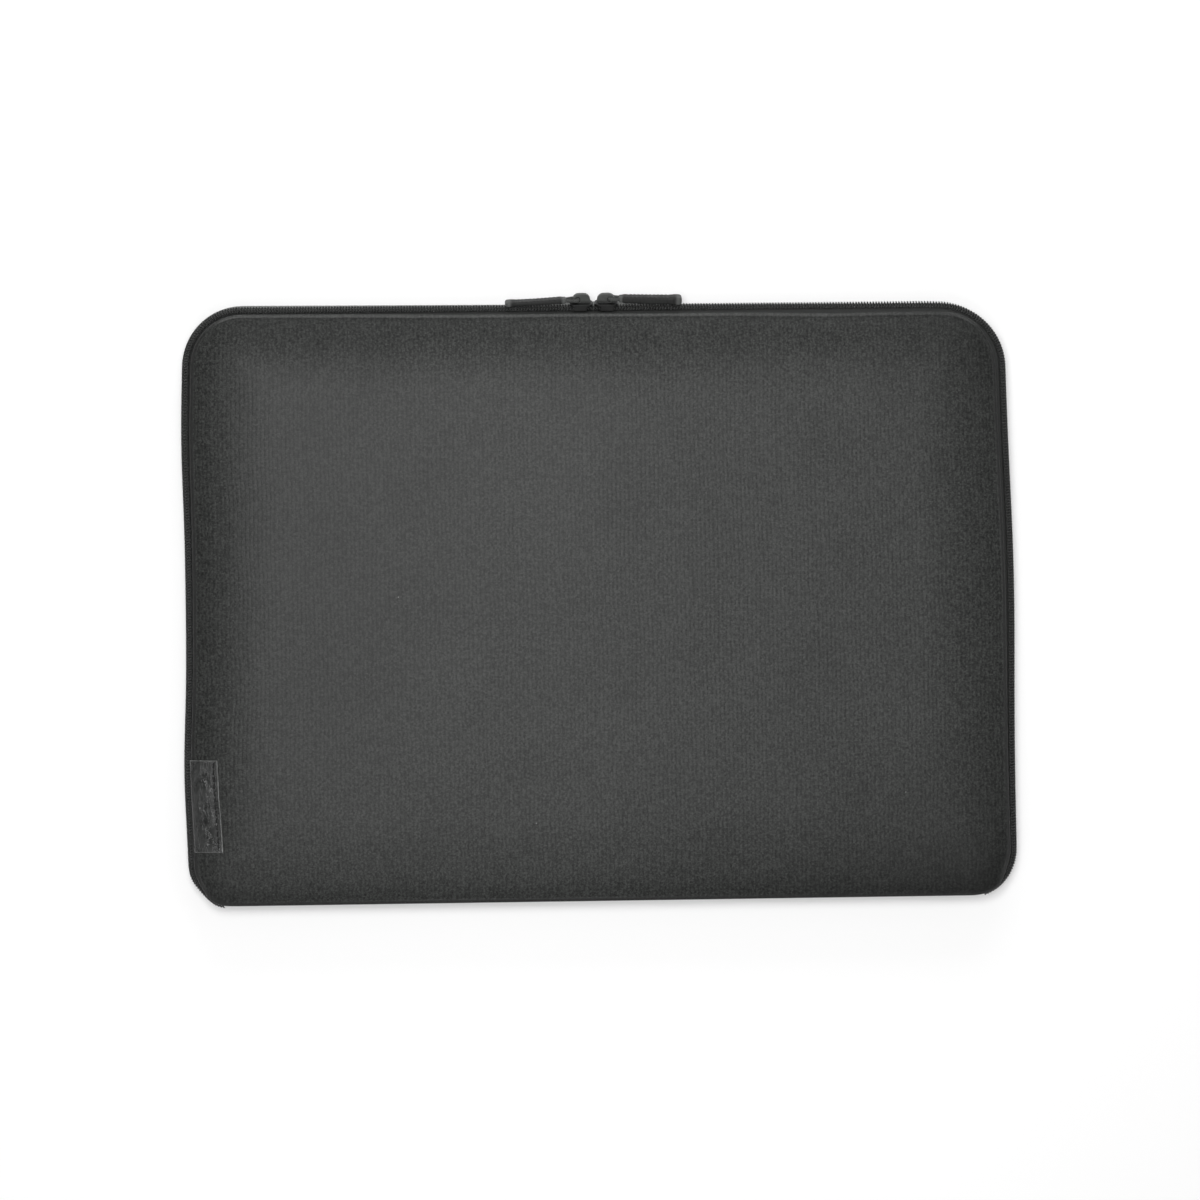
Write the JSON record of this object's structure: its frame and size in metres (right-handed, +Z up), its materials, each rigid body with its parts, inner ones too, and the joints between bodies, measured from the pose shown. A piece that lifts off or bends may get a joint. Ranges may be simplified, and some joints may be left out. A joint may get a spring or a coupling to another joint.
{
  "type": "laptop sleeve",
  "caption": "Padded fabric laptop sleeve that opens flat like a book, closed by a three-sided zip with sliders, corded pulls and a side label.",
  "frame": {"origin": "centre of the back face, with the sleeve lying on its back", "axes": "+X right, +Y towards the top edge where the sliders meet, +Z up through the front face"},
  "size_m": [0.4004, 0.2955, 0.0323],
  "materials": {
    "ribbed_knit": "fine ribbed charcoal knit with a soft matt nap",
    "foam": "soft closed-cell foam, hidden between shell and lining",
    "plush_lining": "short plush pile",
    "zip_tape": "woven herringbone polyester tape",
    "zip_coil": "extruded nylon coil, satin",
    "dark_nickel": "die-cast, dark nickel plate, satin",
    "pull_cord": "braided cord",
    "pull_grip": "moulded soft rubber, satin",
    "tag_leather": "glossy coated leatherette, lightly creased",
    "thread": "bonded polyester thread"
  },
  "bodies": {
    "back_half": {"back_shell": "ribbed_knit", "back_padding": "foam", "back_lining": "plush_lining", "back_binding": "zip_tape", "back_zip_tape": "zip_tape", "back_zip_coil": "zip_coil", "back_left_stop": "dark_nickel", "back_right_stop": "dark_nickel"},
    "spine": {"spine_cover": "ribbed_knit", "spine_lining": "plush_lining"},
    "front_cover": {"front_shell": "ribbed_knit", "front_padding": "foam", "front_lining": "plush_lining", "front_binding": "zip_tape", "front_zip_tape": "zip_tape", "front_zip_coil": "zip_coil", "front_left_stop": "dark_nickel", "front_right_stop": "dark_nickel", "tag": "tag_leather", "tag_thread": "thread"},
    "left_slider": {"left_slider_body": "dark_nickel"},
    "right_slider": {"right_slider_body": "dark_nickel"},
    "left_pull": {"left_pull_cord": "pull_cord", "left_pull_grip": "pull_grip"},
    "right_pull": {"right_pull_cord": "pull_cord", "right_pull_grip": "pull_grip"}
  },
  "joints": [
    {"name": "spine_fold", "type": "hinge", "parent": "back_half", "child": "spine", "pos_m": [0, -0.145, 0.01045], "axis": [1, 0, 0], "range_deg": [0, 90], "deforming": ["front_zip_tape", "front_zip_coil"]},
    {"name": "cover_fold", "type": "hinge", "parent": "spine", "child": "front_cover", "pos_m": [0, -0.145, 0.01955], "axis": [1, 0, 0], "range_deg": [0, 90], "deforming": ["front_zip_tape", "front_zip_coil"]},
    {"name": "left_slide", "type": "slide", "parent": "back_half", "child": "left_slider", "axis": [-1, 0, 0], "range_m": [0, 0.15]},
    {"name": "right_slide", "type": "slide", "parent": "back_half", "child": "right_slider", "axis": [1, 0, 0], "range_m": [0, 0.15]},
    {"name": "left_pull_swing", "type": "hinge", "parent": "left_slider", "child": "left_pull", "pos_m": [-0.0097, 0.14672, 0.0168], "axis": [0, 0.3915, -0.9202], "range_deg": [0, 100]},
    {"name": "right_pull_swing", "type": "hinge", "parent": "right_slider", "child": "right_pull", "pos_m": [0.0057, 0.14709, 0.01695], "axis": [0, -0.3915, 0.9202], "range_deg": [0, 100]}
  ],
  "couplings": [
    {"joint": "cover_fold", "follows": "spine_fold", "ratio": 1}
  ]
}
